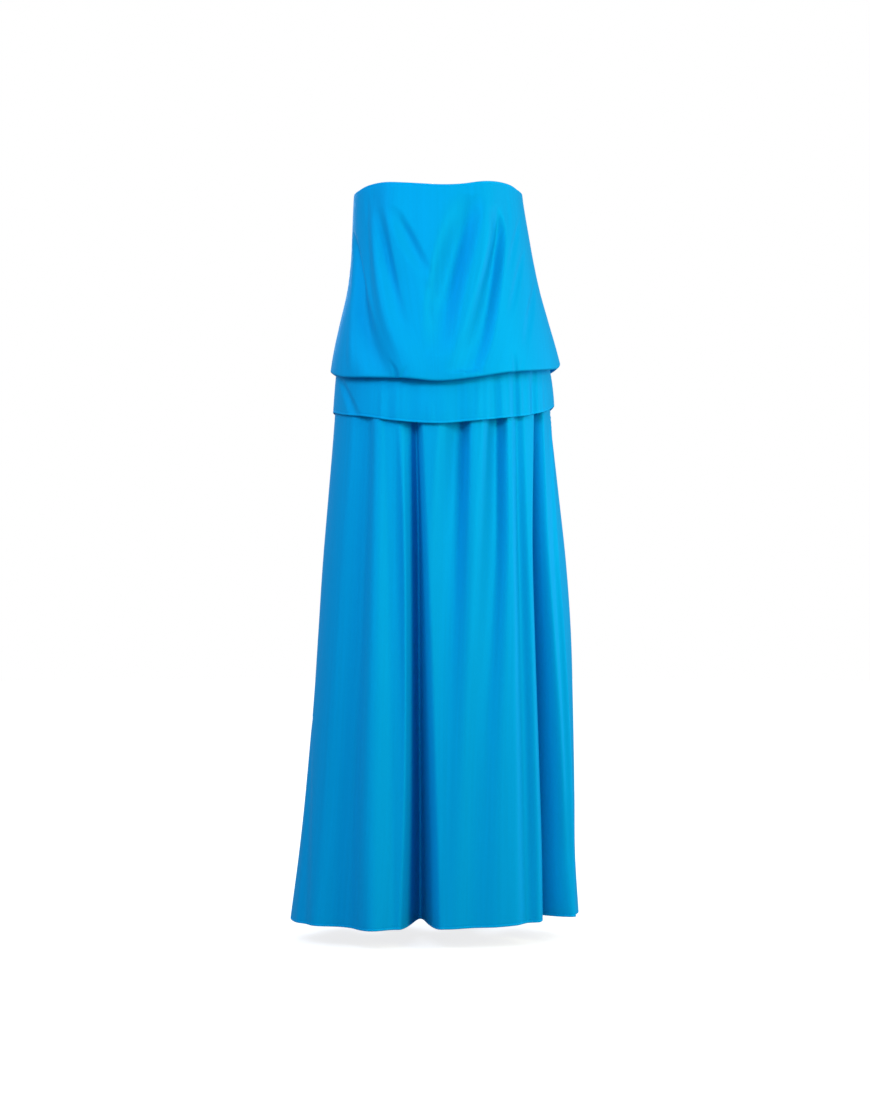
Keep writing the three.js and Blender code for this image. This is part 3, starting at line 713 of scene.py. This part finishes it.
def shell_mesh(name, panel, thickness):
    """The closed shell of a panel: its outer face, its inner face a cloth's thickness behind, and its rims."""
    points, normals, mask = panel.grid()
    rows, width = points.shape[:2]
    outer = points.reshape(-1, 3) * MM
    inner = (points - normals * (thickness / MM)).reshape(-1, 3) * MM
    index = np.arange(rows * width).reshape(rows, width)
    corners = np.stack([index[:-1, :-1], index[1:, :-1], index[1:, 1:], index[:-1, 1:]], axis=-1)
    cells = corners[mask]
    behind = rows * width
    quads = [cells, cells[:, ::-1] + behind]
    padded = np.pad(mask, 1)
    here = padded[1:-1, 1:-1]
    for neighbour, (a, b) in (
        (padded[1:-1, :-2], (0, 1)),
        (padded[2:, 1:-1], (1, 2)),
        (padded[1:-1, 2:], (2, 3)),
        (padded[:-2, 1:-1], (3, 0)),
    ):
        rim = corners[here & ~neighbour]
        quads.append(np.stack([rim[:, b], rim[:, a], rim[:, a] + behind, rim[:, b] + behind], axis=-1))
    faces = np.concatenate(quads)
    used = np.unique(faces)
    renumber = np.zeros(2 * behind, int)
    renumber[used] = np.arange(len(used))
    faces = renumber[faces]
    vertices = np.concatenate([outer, inner])[used]

    mesh = bpy.data.meshes.new(name)
    mesh.vertices.add(len(vertices))
    mesh.vertices.foreach_set("co", vertices.ravel())
    mesh.loops.add(faces.size)
    mesh.loops.foreach_set("vertex_index", faces.ravel())
    mesh.polygons.add(len(faces))
    mesh.polygons.foreach_set("loop_start", np.arange(len(faces)) * 4)
    mesh.polygons.foreach_set("use_smooth", np.ones(len(faces), bool))
    mesh.update(calc_edges=True)

    across = np.broadcast_to(run_along(points, 1).mean(axis=0), (rows, width))
    flat = np.stack([across, -run_along(points, 0)], axis=-1).reshape(-1, 2) * MM
    flat = np.concatenate([flat, flat])[used]
    layout = mesh.uv_layers.new(name="cloth")
    layout.data.foreach_set("uv", flat[faces.ravel()].ravel())
    # The painted highlight near the edges is kept on the points, for the material to lighten the colour by.
    painted_sheen = np.array(panel.painted_sheen).ravel()
    for label, values in (
        ("pressed", np.concatenate([painted_sheen, painted_sheen])),
        ("wrong_side", np.repeat([0.0, 1.0], behind)),
    ):
        attribute = mesh.attributes.new(label, "FLOAT", "POINT")
        attribute.data.foreach_set("value", values[used])
    mesh.validate()
    return mesh, cloth_area(points, mask)


def cloth_area(points, mask):
    """The area of a panel's outer face, in square metres."""
    a = points[1:, 1:] - points[:-1, :-1]
    b = points[:-1, 1:] - points[1:, :-1]
    return float((np.linalg.norm(np.cross(a, b), axis=-1) / 2)[mask].sum()) * MM * MM


def place(name, mesh, material):
    """A finished piece in the scene, with its one material."""
    mesh.materials.clear()
    mesh.materials.append(material)
    piece = bpy.data.objects.new(name, mesh)
    bpy.context.scene.collection.objects.link(piece)
    return piece


def panel_piece(layer_name, side, build, settings):
    """Builds a panel of cloth and stands it for its node."""
    panel = Panel(layers[layer_name], side, getattr(settings, f"{layer_name}_columns"))
    build(panel, settings)
    node = f"{layer_name}_{side}"
    mesh, area = shell_mesh(f"{node}_cloth", panel, settings.thickness)
    piece = place(f"{node}_cloth", mesh, cloth_material(layer_name, settings))
    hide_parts(node)
    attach(piece, "root")
    return piece, area


def feed(tree, node, values):
    """Sets a node's inputs, each to a value or to the output that feeds it."""
    for name, value in values.items():
        if isinstance(value, bpy.types.NodeSocket):
            tree.links.new(value, node.inputs[name])
        else:
            node.inputs[name].default_value = value


def add_node(tree, kind, values=None, **attributes):
    """Adds a node to the right of the others, with its attributes and its inputs."""
    node = tree.nodes.new(kind)
    node.location = (NODE_SPACING * len(tree.nodes), 0)
    for name, value in attributes.items():
        setattr(node, name, value)
    feed(tree, node, values or {})
    return node


def colour_ramp(tree, amount, colours, places):
    """Two colours and all between them, by an amount."""
    ramp = add_node(tree, "ShaderNodeValToRGB", {"Fac": amount})
    for element, colour, at in zip(ramp.color_ramp.elements, colours, places):
        element.position, element.color = at, (*colour, 1)
    return ramp.outputs["Color"]


def new_material(name):
    """A material with its tree and its shader."""
    material = bpy.data.materials.new(name)
    material.use_nodes = True
    return material, material.node_tree, material.node_tree.nodes["Principled BSDF"]


def socket(tree, name, direction, kind, value=None):
    made = tree.interface.new_socket(name=name, in_out=direction, socket_type=f"NodeSocket{kind}")
    if value is not None:
        made.default_value = value


def weave_group():
    """Crepe weave from the cloth's own UV: the raised threads, the streaks along the warp and cloudy patches."""
    tree = bpy.data.node_groups.new("Crepe weave", "ShaderNodeTree")
    socket(tree, "Threads per metre", "INPUT", "Float", 1500.0)
    socket(tree, "Crepe scale", "INPUT", "Float", 900.0)
    for name in ("Height", "Streak", "Cloud"):
        socket(tree, name, "OUTPUT", "Float")
    given = add_node(tree, "NodeGroupInput")
    layout = add_node(tree, "ShaderNodeUVMap", uv_map="cloth")
    turned = add_node(
        tree,
        "ShaderNodeVectorRotate",
        {"Angle": math.radians(TWILL_ANGLE), "Vector": layout.outputs["UV"]},
        rotation_type="Z_AXIS",
    )
    bands = add_node(
        tree, "ShaderNodeMath", {0: given.outputs["Threads per metre"], 1: TWILL_BANDS}, operation="MULTIPLY"
    )
    twill = add_node(
        tree,
        "ShaderNodeTexWave",
        {"Distortion": 1.2, "Detail": 1.0, "Scale": bands.outputs[0], "Vector": turned.outputs["Vector"]},
        wave_type="BANDS",
        bands_direction="X",
    )
    crepe = add_node(
        tree,
        "ShaderNodeTexNoise",
        {"Detail": 3.0, "Roughness": 0.6, "Vector": layout.outputs["UV"], "Scale": given.outputs["Crepe scale"]},
    )
    height = add_node(
        tree,
        "ShaderNodeMix",
        {"Factor": 0.6, "A": twill.outputs["Fac"], "B": crepe.outputs["Fac"]},
        data_type="FLOAT",
    )
    stretch = add_node(tree, "ShaderNodeMapping", {"Scale": STREAK_SCALE, "Vector": layout.outputs["UV"]})
    streak = add_node(
        tree, "ShaderNodeTexNoise", {"Scale": 1.0, "Detail": 3.0, "Vector": stretch.outputs["Vector"]}
    )
    cloud = add_node(tree, "ShaderNodeTexNoise", {"Scale": 9.0, "Detail": 2.0, "Vector": layout.outputs["UV"]})
    add_node(
        tree,
        "NodeGroupOutput",
        {"Height": height.outputs["Result"], "Streak": streak.outputs["Fac"], "Cloud": cloud.outputs["Fac"]},
    )
    return tree


def satin_crepe(name, settings, weave):
    """The dress cloth: a soft satin face over a crepe back, with a highlight painted lighter into its colour along
    the hems.
    """
    material, tree, shader = new_material(name)
    sheen = (*settings.sheen_colour, 1)
    cloth = add_node(tree, "ShaderNodeGroup", {"Threads per metre": settings.threads_per_metre}, node_tree=weave)
    tones = [tone(settings.colour, factor) for factor in STREAK_TONES]
    streaked = colour_ramp(tree, cloth.outputs["Streak"], tones, STREAK_PLACES)

    # Painted highlight: the colour is mixed towards a lighter tone near the edges, standing in for the hems' sheen.
    pressed = add_node(tree, "ShaderNodeAttribute", attribute_name="pressed")
    amount = add_node(tree, "ShaderNodeMath", {0: pressed.outputs["Fac"], 1: EDGE_SHEEN_SHARE}, operation="MULTIPLY")
    lighten = add_node(
        tree,
        "ShaderNodeMix",
        {"Factor": amount.outputs[0], "A": streaked, "B": (*tone(settings.colour, EDGE_SHEEN_TONE), 1)},
        data_type="RGBA",
        blend_type="MIX",
    )

    wrong = add_node(tree, "ShaderNodeAttribute", attribute_name="wrong_side")
    low, high = settings.roughness - ROUGHNESS_SPREAD, settings.roughness + ROUGHNESS_SPREAD
    rough = add_node(tree, "ShaderNodeMapRange", {"To Min": low, "To Max": high, "Value": cloth.outputs["Cloud"]})
    duller = add_node(
        tree,
        "ShaderNodeMath",
        {0: wrong.outputs["Fac"], 1: WRONG_SIDE_DULLER, 2: rough.outputs["Result"]},
        operation="MULTIPLY_ADD",
    )
    bump = add_node(
        tree, "ShaderNodeBump", {"Strength": 0.35, "Distance": 0.00012, "Height": cloth.outputs["Height"]}
    )
    values = {
        "Metallic": settings.satin,
        "Specular IOR Level": 0.12,
        "Specular Tint": sheen,
        "Sheen Weight": 0.12,
        "Sheen Roughness": 0.45,
        "Sheen Tint": sheen,
        "Base Color": lighten.outputs["Result"],
        "Roughness": duller.outputs[0],
        "Normal": bump.outputs["Normal"],
    }
    feed(tree, shader, values)
    return material


def tone(colour, factor):
    """A lighter or darker tone of a colour."""
    return tuple(min(1.0, c * factor) for c in colour)


def thread_material(settings):
    """Sewing thread: a shade lighter than the cloth, with its twist as bump."""
    material, tree, shader = new_material("sewing_thread")
    where = add_node(tree, "ShaderNodeTexCoord")
    twist = add_node(tree, "ShaderNodeTexNoise", {"Scale": 2500.0, "Vector": where.outputs["Object"]})
    tones = [tone(settings.colour, factor) for factor in THREAD_TONES]
    bump = add_node(tree, "ShaderNodeBump", {"Strength": 0.4, "Distance": 0.0001, "Height": twist.outputs["Fac"]})
    values = {
        "Roughness": 0.45,
        "Specular IOR Level": 0.2,
        "Specular Tint": (*settings.sheen_colour, 1),
        "Base Color": colour_ramp(tree, twist.outputs["Fac"], tones, (0, 1)),
        "Normal": bump.outputs["Normal"],
    }
    feed(tree, shader, values)
    return material


def stitch_tree():
    """Geometry Nodes: lays a row of lockstitches along a path of edges."""
    tree = bpy.data.node_groups.new("Lockstitches", "GeometryNodeTree")
    socket(tree, "Path", "INPUT", "Geometry")
    for name, value in (("Stitch length", 0.0024), ("Gap", 0.0006), ("Thread width", 0.0003)):
        socket(tree, name, "INPUT", "Float", value)
    socket(tree, "Thread", "INPUT", "Material")
    socket(tree, "Stitches", "OUTPUT", "Geometry")
    given = add_node(tree, "NodeGroupInput")
    length, width = given.outputs["Stitch length"], given.outputs["Thread width"]

    curve = add_node(tree, "GeometryNodeMeshToCurve", {"Mesh": given.outputs["Path"]})
    step = add_node(tree, "ShaderNodeMath", {0: length, 1: given.outputs["Gap"]}, operation="ADD")
    spaced = add_node(
        tree, "GeometryNodeResampleCurve", {"Curve": curve.outputs["Curve"], "Length": step.outputs[0]}, mode="LENGTH"
    )
    tangent = add_node(tree, "GeometryNodeInputTangent")
    along = add_node(tree, "FunctionNodeAlignRotationToVector", {"Vector": tangent.outputs["Tangent"]}, axis="X")
    size = add_node(tree, "ShaderNodeCombineXYZ", {"X": length, "Y": width, "Z": width})
    bead = add_node(tree, "GeometryNodeMeshUVSphere", {"Segments": 8, "Rings": 4, "Radius": 0.5})
    laid = add_node(
        tree,
        "GeometryNodeInstanceOnPoints",
        {
            "Points": spaced.outputs["Curve"],
            "Instance": bead.outputs["Mesh"],
            "Rotation": along.outputs["Rotation"],
            "Scale": size.outputs["Vector"],
        },
    )
    real = add_node(tree, "GeometryNodeRealizeInstances", {"Geometry": laid.outputs["Instances"]})
    smooth = add_node(tree, "GeometryNodeSetShadeSmooth", {"Geometry": real.outputs["Geometry"]})
    finish = add_node(
        tree,
        "GeometryNodeSetMaterial",
        {"Geometry": smooth.outputs["Geometry"], "Material": given.outputs["Thread"]},
    )
    add_node(tree, "NodeGroupOutput", {"Stitches": finish.outputs["Geometry"]})
    return tree


def stitch_path(name, layer, edge, inset, upwards):
    """Points along the outer face at a distance from an edge, front and back, as a path of edges."""
    ends = (-SIDE_SEAM, SIDE_SEAM, FULL_TURN - SIDE_SEAM)
    columns = np.concatenate([layer.spread(a, b, STITCH_PATH_POINTS)[:-1] for a, b in zip(ends, ends[1:])])
    z = edge_height(layer, edge, columns) + upwards * inset
    points, normals = layer.skin(columns, z)
    path = bpy.data.meshes.new(name)
    count = len(points)
    links = [(i, (i + 1) % count) for i in range(count)]
    path.from_pydata([tuple(p) for p in (points - normals * STITCH_SINK) * MM], links, [])
    return path


def stitched_row(name, layer_name, edge, upwards, settings, tree, thread):
    """One row of stitches all round the dress, as a plain mesh."""
    path_name = f"{name}_path"
    path = stitch_path(path_name, layers[layer_name], edge, settings.stitch_inset / MM, upwards)
    guide = bpy.data.objects.new(path_name, path)
    bpy.context.scene.collection.objects.link(guide)
    modifier = guide.modifiers.new("Lockstitches", "NODES")
    modifier.node_group = tree
    values = {
        "Stitch length": settings.stitch_length,
        "Gap": settings.stitch_gap,
        "Thread width": settings.thread_width,
        "Thread": thread,
    }
    for item in tree.interface.items_tree:
        if item.in_out == "INPUT" and item.name in values:
            modifier[item.identifier] = values[item.name]
    bpy.context.view_layer.update()
    graph = bpy.context.evaluated_depsgraph_get()
    mesh = bpy.data.meshes.new_from_object(guide.evaluated_get(graph))
    mesh.name = name
    bpy.data.objects.remove(guide)
    piece = place(name, mesh, thread)
    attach(piece, "root")


class DressCloth(bpy.types.PropertyGroup):
    """The cloth and how finely it is modelled."""

    thickness: FloatProperty(name="Thickness", description="Thickness of the cloth", default=0.0005, unit="LENGTH")
    hem_roll: FloatProperty(
        name="Hem roll", description="Radius of the turn at a hem", default=0.0007, unit="LENGTH"
    )
    bodice_row_step: FloatProperty(
        name="Bodice row step", description="Distance between rows of the bodice's mesh", default=0.003, unit="LENGTH"
    )
    tier_row_step: FloatProperty(
        name="Tier row step", description="Distance between rows of the tier's mesh", default=0.003, unit="LENGTH"
    )
    skirt_row_step: FloatProperty(
        name="Skirt row step", description="Distance between rows of the skirt's mesh", default=0.0085, unit="LENGTH"
    )
    bodice_columns: IntProperty(name="Bodice columns", description="Columns of each bodice panel", default=240)
    tier_columns: IntProperty(name="Tier columns", description="Columns of each tier panel", default=260)
    skirt_columns: IntProperty(name="Skirt columns", description="Columns of each skirt panel", default=340)
    colour: FloatVectorProperty(
        name="Colour", description="Dyed colour of the cloth", subtype="COLOR", default=(0.001, 0.37, 0.745)
    )
    sheen_colour: FloatVectorProperty(
        name="Sheen colour", description="Colour of the cloth's sheen", subtype="COLOR", default=(0.02, 0.62, 1.0)
    )
    satin: FloatProperty(name="Satin", description="How strongly the face mirrors its surroundings", default=0.18)
    roughness: FloatProperty(name="Roughness", description="How soft the highlights are", default=0.56)
    threads_per_metre: FloatProperty(name="Threads", description="Warp threads to the metre", default=2400.0)
    stitch_inset: FloatProperty(
        name="Stitch inset", description="Distance of the stitches from an edge", default=0.0042, unit="LENGTH"
    )
    stitch_length: FloatProperty(
        name="Stitch length", description="Length of one stitch", default=0.0023, unit="LENGTH"
    )
    stitch_gap: FloatProperty(name="Stitch gap", description="Gap between stitches", default=0.0006, unit="LENGTH")
    thread_width: FloatProperty(
        name="Thread width", description="Width of the thread", default=0.0003, unit="LENGTH"
    )
    groove_depth: FloatProperty(
        name="Groove depth", description="How far stitches draw the cloth in, in millimetres", default=0.3
    )
    groove_width: FloatProperty(
        name="Groove width", description="Half width of the stitches' groove, in millimetres", default=1.1
    )


class DressStage(bpy.types.PropertyGroup):
    """The floor, the lights and the camera."""

    floor_drop: FloatProperty(
        name="Floor drop", description="How far the floor lies below the hem", default=0.035, unit="LENGTH"
    )
    floor_radius: FloatProperty(name="Floor radius", description="Radius of the floor", default=9.0, unit="LENGTH")
    camera_distance: FloatProperty(
        name="Camera distance", description="From the camera to the dress", default=4.3, unit="LENGTH"
    )
    camera_x: FloatProperty(name="Camera X", description="Camera's place across", default=-0.005, unit="LENGTH")
    camera_z: FloatProperty(name="Camera Z", description="Camera's height", default=-0.628, unit="LENGTH")
    view_height: FloatProperty(
        name="View height", description="Height that the picture shows at the dress", default=1.9425, unit="LENGTH"
    )
    key_power: FloatProperty(name="Key light", description="Power of the key light", default=41.0, unit="POWER")
    top_power: FloatProperty(
        name="Top light", description="Power of the light high above the camera", default=34.0, unit="POWER"
    )
    left_power: FloatProperty(name="Left light", description="Power of the light at -X", default=19.0, unit="POWER")
    right_power: FloatProperty(
        name="Right light", description="Power of the light at +X", default=17.0, unit="POWER"
    )
    back_power: FloatProperty(
        name="Back light", description="Power of the light behind", default=50.0, unit="POWER"
    )
    room_light: FloatProperty(name="Room light", description="Strength of the light from all round", default=0.55)
    key_colour: FloatVectorProperty(
        name="Key colour", description="Colour of the key light", subtype="COLOR", default=(1.0, 1.0, 0.65)
    )
    soft_colour: FloatVectorProperty(
        name="Soft colour", description="Colour of the softer lights", subtype="COLOR", default=(0.8, 0.9, 1.0)
    )
    room_colour: FloatVectorProperty(
        name="Room colour", description="Colour of the light from all round",
        subtype="COLOR", default=(0.62, 0.75, 1.0),
    )


def shared_material(name, make):
    """The named material, made the first time that it is asked for."""
    return bpy.data.materials.get(name) or make()


def cloth_material(layer_name, settings):
    """A layer's own cloth: all three share one weave."""

    def make():
        weave = bpy.data.node_groups.get("Crepe weave") or weave_group()
        return satin_crepe(f"{layer_name}_crepe", settings, weave)

    return shared_material(f"{layer_name}_crepe", make)


def hang_layer(layer_name, settings):
    """The front and the back of a layer that hangs from the hip seam, each built as a panel of cloth."""
    for side, flat in CUTS[layer_name].items():
        piece, area = panel_piece(layer_name, side, build_hanging, settings)


class DRESS_OT_bodice(bpy.types.Operator):
    """Builds the bloused bodice, front and back, with its rolled lower edge"""

    bl_idname = "dress.bodice"
    bl_label = "Bodice"

    def execute(self, context):
        settings = context.scene.dress_cloth
        for side, flat in CUTS["bodice"].items():
            piece, area = panel_piece("bodice", side, build_bodice, settings)
        return {"FINISHED"}


class DRESS_OT_tier(bpy.types.Operator):
    """Builds the short hip tier, front and back"""

    bl_idname = "dress.tier"
    bl_label = "Hip tier"

    def execute(self, context):
        hang_layer("tier", context.scene.dress_cloth)
        return {"FINISHED"}


class DRESS_OT_skirt(bpy.types.Operator):
    """Builds the long flared skirt, front and back, with its folds"""

    bl_idname = "dress.skirt"
    bl_label = "Skirt"

    def execute(self, context):
        hang_layer("skirt", context.scene.dress_cloth)
        return {"FINISHED"}


class DRESS_OT_stitches(bpy.types.Operator):
    """Sews the rows of stitches along the neckline, the tier's hem and the skirt's hem"""

    bl_idname = "dress.stitches"
    bl_label = "Stitches"

    def execute(self, context):
        settings = context.scene.dress_cloth
        thread = shared_material("sewing_thread", lambda: thread_material(settings))
        tree = stitch_tree()
        for edge, (layer_name, upwards) in STITCHED_EDGES.items():
            stitched_row(f"{edge}_stitches", layer_name, edge, upwards, settings, tree, thread)
        return {"FINISHED"}


class DRESS_OT_stage(bpy.types.Operator):
    """Lays the floor, hangs the lights and sets the camera"""

    bl_idname = "dress.stage"
    bl_label = "Stage"

    def execute(self, context):
        stage = context.scene.dress_stage
        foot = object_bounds()[0].z
        lay_floor(foot - stage.floor_drop, stage.floor_radius)
        for name, (place_at, size, colour) in LIGHTS.items():
            area_light(f"{name}_light", place_at, size, getattr(stage, f"{name}_power"), getattr(stage, colour))
        room_light(context.scene, stage.room_light, stage.room_colour)
        set_camera(context.scene, stage)
        context.scene.view_settings.view_transform = "Standard"
        return {"FINISHED"}


def lay_floor(height, radius):
    """A round pale floor. The camera sees it glow, whiter further out, and to the lights it is a dim grey."""
    floor = bpy.data.meshes.new("floor")
    corners = [2 * math.pi * k / FLOOR_SIDES for k in range(FLOOR_SIDES)]
    rim = [(radius * math.cos(a), radius * math.sin(a), height) for a in corners]
    floor.from_pydata(rim, [], [tuple(range(FLOOR_SIDES))])
    material, tree, shader = new_material("pale_floor")
    where = add_node(tree, "ShaderNodeTexCoord")
    away = add_node(tree, "ShaderNodeVectorMath", {0: where.outputs["Object"]}, operation="LENGTH")
    far = add_node(
        tree,
        "ShaderNodeMapRange",
        {"From Min": 1.5, "From Max": 4.0, "Value": away.outputs["Value"]},
        interpolation_type="SMOOTHSTEP",
    )
    values = {"Roughness": 0.9, "Specular IOR Level": 0.0, "Emission Strength": 1.0}
    for name, (near_grey, far_grey) in FLOOR_GLOW_AND_GREY.items():
        mix = add_node(
            tree,
            "ShaderNodeMix",
            {"A": (*[near_grey] * 3, 1), "B": (*[far_grey] * 3, 1), "Factor": far.outputs["Result"]},
            data_type="RGBA",
        )
        values[name] = mix.outputs["Result"]
    feed(tree, shader, values)
    dim = add_node(tree, "ShaderNodeBsdfDiffuse", {"Color": (0.25, 0.25, 0.25, 1)})
    show_to_camera(tree, dim, shader, tree.nodes["Material Output"])
    place("floor", floor, material)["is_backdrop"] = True


def show_to_camera(tree, lighting, shown, output):
    """Joins two shaders: one that the camera sees, and one that lights the dress."""
    ray = add_node(tree, "ShaderNodeLightPath")
    values = {0: ray.outputs["Is Camera Ray"], 1: lighting.outputs[0], 2: shown.outputs[0]}
    mix = add_node(tree, "ShaderNodeMixShader", values)
    feed(tree, output, {"Surface": mix.outputs[0]})


def area_light(name, place_at, size, power, colour):
    """A soft rectangular lamp that the camera doesn't see."""
    light = bpy.data.lights.new(name, "AREA")
    light.shape = "RECTANGLE"
    light.size, light.size_y = size
    light.energy = power
    light.color = colour
    lamp = bpy.data.objects.new(name, light)
    lamp.visible_camera = False
    lamp.location = place_at
    lamp.rotation_euler = (HIP - Vector(place_at)).to_track_quat("-Z", "Y").to_euler()
    bpy.context.scene.collection.objects.link(lamp)


def room_light(scene, strength, colour):
    """White all round where the camera looks past the dress, and softer where it lights the cloth."""
    world = bpy.data.worlds.new("studio")
    scene.world = world
    world.use_nodes = True
    tree = world.node_tree
    shown = tree.nodes["Background"]
    feed(tree, shown, {"Color": (1, 1, 1, 1), "Strength": 1.0})
    lighting = add_node(tree, "ShaderNodeBackground", {"Color": (*colour, 1), "Strength": strength})
    show_to_camera(tree, lighting, shown, tree.nodes["World Output"])


def set_camera(scene, stage):
    """A level camera in front of the dress."""
    camera = bpy.data.cameras.new("camera")
    camera.sensor_width = SENSOR_WIDTH
    camera.lens = camera.sensor_width * stage.camera_distance / stage.view_height
    eye = bpy.data.objects.new("camera", camera)
    eye.location = (stage.camera_x, -stage.camera_distance, stage.camera_z)
    eye.rotation_euler = (math.pi / 2, 0, 0)
    scene.collection.objects.link(eye)
    scene.camera = eye


class DRESS_PT_panel(bpy.types.Panel):
    """Lists the pieces of the dress in the order in which they are built"""

    bl_idname = "DRESS_PT_panel"
    bl_label = "Dress"
    bl_space_type = "VIEW_3D"
    bl_region_type = "UI"
    bl_category = "Dress"

    def draw(self, context):
        column = self.layout.column()
        for name in ("colour", "satin", "roughness", "thickness"):
            column.prop(context.scene.dress_cloth, name)
        for operator in OPERATORS:
            column.operator(operator.bl_idname)
        powers = [f"{name}_power" for name in LIGHTS]
        for name in ("camera_distance", *powers, "key_colour", "soft_colour", "room_light", "room_colour"):
            column.prop(context.scene.dress_stage, name)


OPERATORS = (DRESS_OT_bodice, DRESS_OT_tier, DRESS_OT_skirt, DRESS_OT_stitches, DRESS_OT_stage)
CLASSES = (DressCloth, DressStage, *OPERATORS, DRESS_PT_panel)


def register():
    for made in CLASSES:
        bpy.utils.register_class(made)
    bpy.types.Scene.dress_cloth = PointerProperty(type=DressCloth)
    bpy.types.Scene.dress_stage = PointerProperty(type=DressStage)


def unregister():
    del bpy.types.Scene.dress_stage
    del bpy.types.Scene.dress_cloth
    for made in reversed(CLASSES):
        bpy.utils.unregister_class(made)


def main():
    register()
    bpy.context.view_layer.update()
    bpy.ops.dress.bodice()
    bpy.ops.dress.tier()
    bpy.ops.dress.skirt()
    bpy.ops.dress.stitches()
    bpy.ops.dress.stage()


if __name__ == "__main__":
    main()
